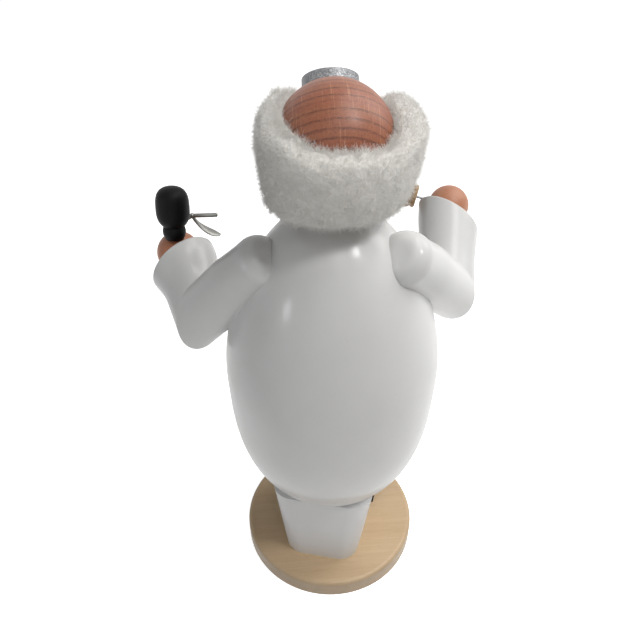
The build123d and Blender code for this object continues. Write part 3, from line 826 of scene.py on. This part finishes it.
def strandTree():
    # Strands set on a surface; their count, sizes, lean, seed and finish are inputs
    want = strandShape
    tree = bpy.data.node_groups.new("furStrands", "GeometryNodeTree")
    face = tree.interface
    face.new_socket("Geometry", in_out="INPUT", socket_type="NodeSocketGeometry")
    for name in ("Density", "Length", "Thickness", "Curl", "Curl Size", "Lean", "Tuft Size"):
        face.new_socket(name, in_out="INPUT", socket_type="NodeSocketFloat")
    face.new_socket("Seed", in_out="INPUT", socket_type="NodeSocketInt")
    face.new_socket("Finish", in_out="INPUT", socket_type="NodeSocketMaterial")
    face.new_socket("Geometry", in_out="OUTPUT", socket_type="NodeSocketGeometry")
    given = tree.nodes.new("NodeGroupInput").outputs
    result = tree.nodes.new("NodeGroupOutput")

    points = put(tree, "GeometryNodeDistributePointsOnFaces", {"distribute_method": "RANDOM"},
                 Mesh=given["Geometry"], Density=given["Density"], Seed=given["Seed"])
    place = tree.nodes.new("GeometryNodeInputPosition").outputs[0]

    # tufts: neighbouring strands lean the same way
    tuft = put(tree, "ShaderNodeTexNoise", {"Detail": 1.0}, Vector=place,
               Scale=mathStep(tree, "DIVIDE", 1.0, given["Tuft Size"]))
    tuftWay = vectorStep(tree, "SUBTRACT", tuft.outputs["Color"], (0.5, 0.5, 0.5))
    tuftWay = vectorStep(tree, "SCALE", tuftWay,
                         mathStep(tree, "MULTIPLY", given["Lean"], want["tuftPull"]))
    stray = put(tree, "FunctionNodeRandomValue", {"data_type": "FLOAT_VECTOR"},
                Seed=given["Seed"])
    stray.inputs[0].default_value = (-1.0, -1.0, -1.0)
    stray.inputs[1].default_value = (1.0, 1.0, 1.0)
    strayWay = vectorStep(tree, "SCALE", stray.outputs[0],
                          mathStep(tree, "MULTIPLY", given["Lean"], want["strayPull"]))
    lean = vectorStep(tree, "ADD", tuftWay, strayWay)
    way = vectorStep(tree, "ADD", lean, points.outputs["Normal"])
    turn = put(tree, "FunctionNodeAlignRotationToVector", {"axis": "Z"}, Vector=way)

    tip = put(tree, "ShaderNodeCombineXYZ", Z=given["Length"])
    line = put(tree, "GeometryNodeCurvePrimitiveLine", {"Start": (0.0, 0.0, 0.0)},
               End=tip.outputs[0])
    strand = put(tree, "GeometryNodeResampleCurve", {"Count": want["points"]},
                 Curve=line.outputs[0])

    # each strand's own number, which outlives the instances
    own = put(tree, "FunctionNodeRandomValue", {"data_type": "FLOAT"},
              Seed=mathStep(tree, "ADD", given["Seed"], want["ownSeed"])).outputs[1]
    marked = put(tree, "GeometryNodeStoreNamedAttribute",
                 {"data_type": "FLOAT", "domain": "POINT", "Name": "strand"},
                 Geometry=points.outputs["Points"], Value=own)
    placed = put(tree, "GeometryNodeInstanceOnPoints", Points=marked.outputs[0],
                 Instance=strand.outputs[0], Rotation=turn.outputs[0],
                 Scale=spread(tree, own, *want["sizes"]))
    loose = put(tree, "GeometryNodeRealizeInstances", Geometry=placed.outputs[0])

    # curl: each strand follows its own slice of a noise field, more towards its tip
    along = tree.nodes.new("GeometryNodeSplineParameter").outputs["Factor"]
    mark = put(tree, "GeometryNodeInputNamedAttribute", {"data_type": "FLOAT", "Name": "strand"})
    field = put(tree, "ShaderNodeTexNoise", {"noise_dimensions": "4D", "Detail": 0.0},
                Vector=place, Scale=mathStep(tree, "DIVIDE", 1.0, given["Curl Size"]),
                W=mathStep(tree, "MULTIPLY", mark.outputs[0], want["curlSpread"]))
    swing = vectorStep(tree, "SUBTRACT", field.outputs["Color"], (0.5, 0.5, 0.5))
    pull = mathStep(tree, "MULTIPLY", given["Curl"], want["curlPull"])
    offset = vectorStep(tree, "SCALE", swing, mathStep(tree, "MULTIPLY", pull, along))
    curled = put(tree, "GeometryNodeSetPosition", Geometry=loose.outputs[0], Offset=offset)

    tapered = put(tree, "GeometryNodeSetCurveRadius", Curve=curled.outputs[0],
                  Radius=spread(tree, along, 1.0, want["tip"]))
    ring = put(tree, "GeometryNodeCurvePrimitiveCircle", {"Resolution": want["sides"]},
               Radius=mathStep(tree, "MULTIPLY", given["Thickness"], 0.5))
    radius = tree.nodes.new("GeometryNodeInputRadius").outputs[0]
    tubes = put(tree, "GeometryNodeCurveToMesh", {"Fill Caps": True}, Curve=tapered.outputs[0],
                Profile_Curve=ring.outputs[0], Scale=radius)
    whole = put(tree, "GeometryNodeRealizeInstances", Geometry=tubes.outputs[0])
    dressed = put(tree, "GeometryNodeSetMaterial", Geometry=whole.outputs[0],
                  Material=given["Finish"])
    tree.links.new(dressed.outputs[0], result.inputs[0])
    return tree


def setInputs(modifier, values):
    for socket in modifier.node_group.interface.items_tree:
        if socket.in_out == "INPUT" and socket.name in values:
            modifier[socket.identifier] = values[socket.name]


def growStrands(name, ground, tree):
    seed, strands, length, thickness, curl, curlSize, lean, tuft = strandLayers[name][1:]
    area = sum(face.area for face in ground.polygons)
    layer = bpy.data.objects.new(name, ground.copy())
    scene.collection.objects.link(layer)
    grow = layer.modifiers.new("strands", "NODES")
    grow.node_group = tree
    setInputs(grow, {"Density": strands / area, "Length": length * mm,
                     "Thickness": thickness * mm, "Curl": curl * mm,
                     "Curl Size": curlSize * mm, "Lean": lean, "Tuft Size": tuft * mm,
                     "Seed": seed, "Finish": finishes["furStrand"]})
    settle(layer)
    print(name, sum(len(face.vertices) - 2 for face in layer.data.polygons), "triangles")
    return layer


def dressHair():
    mat = makeMat()
    tree = strandTree()
    grounds = {name: groundOf(mat, *band) for name, band in strandGrounds.items()}
    layers = []
    for name, (ground, *_) in strandLayers.items():
        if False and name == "hair_fur_1":
            continue
        layers.append(growStrands(name, grounds[ground], tree))
    for piece in [mat] + layers:
        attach(piece, "figure")
        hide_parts("hair")


# Painted face, plain and calm: two eyes and brows
faceSettings = {
    # degrees for turn, rise, tilt and the pupil's and glint's offsets; mm for sizes
    "eyeTurn": 21.0,         # off the middle
    "eyeRise": 6.0,          # above the ball's middle
    "eyeWidth": 1.9,
    "eyeHeight": 1.35,
    "eyeSwell": 0.25,
    "pupilDrop": 0.8,
    "pupilWidth": 1.0,
    "pupilHeight": 1.2,
    "pupilSwell": 0.42,
    "glintTurn": 1.4,
    "glintRise": 1.8,
    "glintSize": 0.25,
    "glintSwell": 0.52,
    "browWidth": 2.7,
    "browHeight": 0.6,
    "browSwell": 0.3,
    "browRise": 14.5,
    "browTilt": -2.0,
    "edgeSink": 0.12,        # how far the paint's edge and back lie in the wood
    "backSink": 0.3,
    "rings": 8,
    "steps": 32,
}


def domeOnBall(name, turn, rise, wide, high, swell, tilt=0.0):
    # A low dome of paint on the head's ball, closed at its back, just under the surface
    want = faceSettings
    steps = want["steps"]
    centre, reach = Vector(skinSettings["centre"]), skinSettings["reach"]
    turn, rise, tilt = math.radians(turn), math.radians(rise), math.radians(tilt)
    out = Vector((math.sin(turn) * math.cos(rise), -math.cos(turn) * math.cos(rise),
                  math.sin(rise)))
    side = Vector((math.cos(turn), math.sin(turn), 0.0))
    up = out.cross(side)
    right = side * math.cos(tilt) + up * math.sin(tilt)
    above = up * math.cos(tilt) - side * math.sin(tilt)
    form = bmesh.new()

    def laid(across, lift, height):
        spot = (out * reach + right * across + above * lift).normalized()
        return form.verts.new((centre + spot * (reach + height)) * mm)

    def ringAt(share, height):
        angles = [2 * math.pi * step / steps for step in range(steps)]
        return [laid(wide * share * math.cos(angle), high * share * math.sin(angle), height)
                for angle in angles]

    top = laid(0.0, 0.0, swell)
    loops = []
    for ring in range(1, want["rings"]):
        share = ring / want["rings"]
        loops.append(ringAt(share, swell * math.sqrt(1.0 - share ** 2)))
    loops.append(ringAt(1.0, -want["edgeSink"]))
    back = laid(0.0, 0.0, -want["backSink"])
    for here in range(steps):
        after = (here + 1) % steps
        form.faces.new((top, loops[0][here], loops[0][after]))
        for inner, outer in zip(loops, loops[1:]):
            form.faces.new((inner[here], outer[here], outer[after], inner[after]))
        form.faces.new((back, loops[-1][after], loops[-1][here]))
    bmesh.ops.recalc_face_normals(form, faces=form.faces)
    mesh = bpy.data.meshes.new(name)
    form.to_mesh(mesh)
    form.free()
    for face in mesh.polygons:
        face.use_smooth = True
    piece = bpy.data.objects.new(name, mesh)
    scene.collection.objects.link(piece)
    return piece


def makeFace():
    want = faceSettings
    made = []
    for side, sign in (("left", 1.0), ("right", -1.0)):
        turn = sign * want["eyeTurn"]
        eye = domeOnBall(side + "_eye", turn, want["eyeRise"], want["eyeWidth"],
                         want["eyeHeight"], want["eyeSwell"])
        pupil = domeOnBall(side + "_pupil", turn, want["eyeRise"] - want["pupilDrop"],
                           want["pupilWidth"], want["pupilHeight"], want["pupilSwell"])
        # a white dot on each pupil: a painted highlight
        glint = domeOnBall(side + "_glint", turn + want["glintTurn"],
                           want["eyeRise"] + want["glintRise"], want["glintSize"],
                           want["glintSize"], want["glintSwell"])
        brow = domeOnBall(side + "_brow", turn, want["browRise"], want["browWidth"],
                          want["browHeight"], want["browSwell"], -sign * want["browTilt"])
        made += [(eye, "eyeWhite"), (pupil, "eyeBlack"), (glint, "eyeWhite"),
                 (brow, "browGrey")]
    for piece, finish in made:
        piece.data.materials.append(finishes[finish])
        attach(piece, "figure")
    print("face painted,", len(made), "pieces")


def reportSizes():
    print("cad box", [[round(value / mm, 1) for value in corner] for corner in cadBox])


scene.view_settings.view_transform = "Standard"
makeCamera()
makeLamps()
makeBackground()
makeFloor()
makeFinishes()
dressNodes()
dressHair()
makeFace()
reportSizes()
